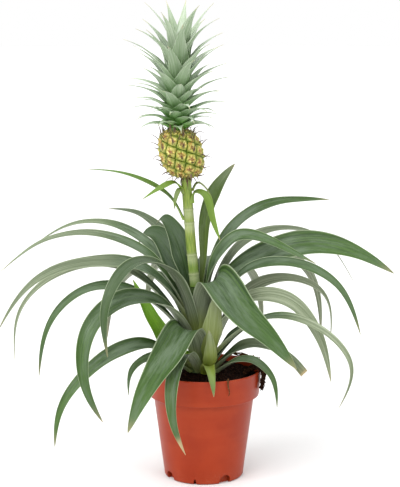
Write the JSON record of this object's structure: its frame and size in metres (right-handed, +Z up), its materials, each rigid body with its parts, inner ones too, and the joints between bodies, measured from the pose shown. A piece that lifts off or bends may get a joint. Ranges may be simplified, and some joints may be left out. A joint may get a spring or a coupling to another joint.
{
  "type": "potted pineapple plant",
  "caption": "Young pineapple plant in a round plastic nursery pot: a rosette of arching strap leaves, an upright stalk, and a small fruit with a leafy crown.",
  "frame": {"origin": "where the pot's axis meets the surface it stands on, on the flat pad in the middle of the base", "axes": "+Z up along the pot's axis; -Y is the front of the plant, with the two big front leaves; +X to the plant's right as seen from the front"},
  "size_m": [0.4129, 0.3001, 0.4889],
  "materials": {
    "pot_plastic": "satin moulded terracotta-orange polypropylene",
    "peat": "damp dark peat with fibres and small lumps",
    "stem": "yellow-green leaf bases",
    "stalk": "yellow-green with whitish powdery rings",
    "leaf": "satin green with a grey bloom, fine lengthwise ribs and thin pale edges",
    "bract": "bright green, smooth",
    "fruit_rind": "yellow eyes with brown centres and olive-green seams",
    "crown_leaf": "grey-green bloom over green, bright at the base",
    "roots": "dry brown fibres"
  },
  "bodies": {
    "root": {"pot": "pot_plastic", "potting_soil": "peat", "plant_stem": "stem", "flower_stalk": "stalk", "leaf_front_short": "leaf", "leaf_rim_right": "leaf", "leaf_low_left_dark": "leaf", "leaf_front_pot": "leaf", "leaf_low_right_cut": "leaf", "leaf_front_upright": "leaf", "leaf_low_left": "leaf", "leaf_back_low_right": "leaf", "leaf_sucker": "leaf", "leaf_front_big": "leaf", "leaf_back_far": "leaf", "leaf_right_twist": "leaf", "leaf_right_mid": "leaf", "leaf_left_wide_arch": "leaf", "leaf_back_left_low": "leaf", "leaf_right_pale": "leaf", "leaf_left_hook": "leaf", "leaf_left_under": "leaf", "leaf_back_right_low": "leaf", "leaf_backlit": "leaf", "leaf_right_drop": "leaf", "leaf_front_left_arch": "leaf", "leaf_right_hook": "leaf", "leaf_back_middle": "leaf", "leaf_front_right_big": "leaf", "leaf_left_long_low": "leaf", "leaf_back_right_thin": "leaf", "leaf_left_long": "leaf", "leaf_right_big": "leaf", "leaf_back_short": "leaf", "leaf_left_high": "leaf", "leaf_right_short": "leaf", "leaf_back_left_broad": "leaf", "leaf_right_high": "leaf", "leaf_heart_left": "leaf", "leaf_heart_back": "leaf", "leaf_heart_upright": "leaf", "bract_left_long": "bract", "bract_clasping": "bract", "bract_right_thin": "bract", "bract_left_bright": "bract", "bract_left_dark": "bract", "fruit": "fruit_rind", "crown_tier_01": "crown_leaf", "crown_tier_02": "crown_leaf", "crown_tier_03": "crown_leaf", "crown_tier_04": "crown_leaf", "crown_tier_05": "crown_leaf", "crown_tier_06": "crown_leaf", "crown_tier_07": "crown_leaf", "crown_tier_08": "crown_leaf", "crown_tier_09": "crown_leaf", "crown_tier_10": "crown_leaf", "root_clump": "roots", "root_fibre": "roots"}
  },
  "joints": []
}
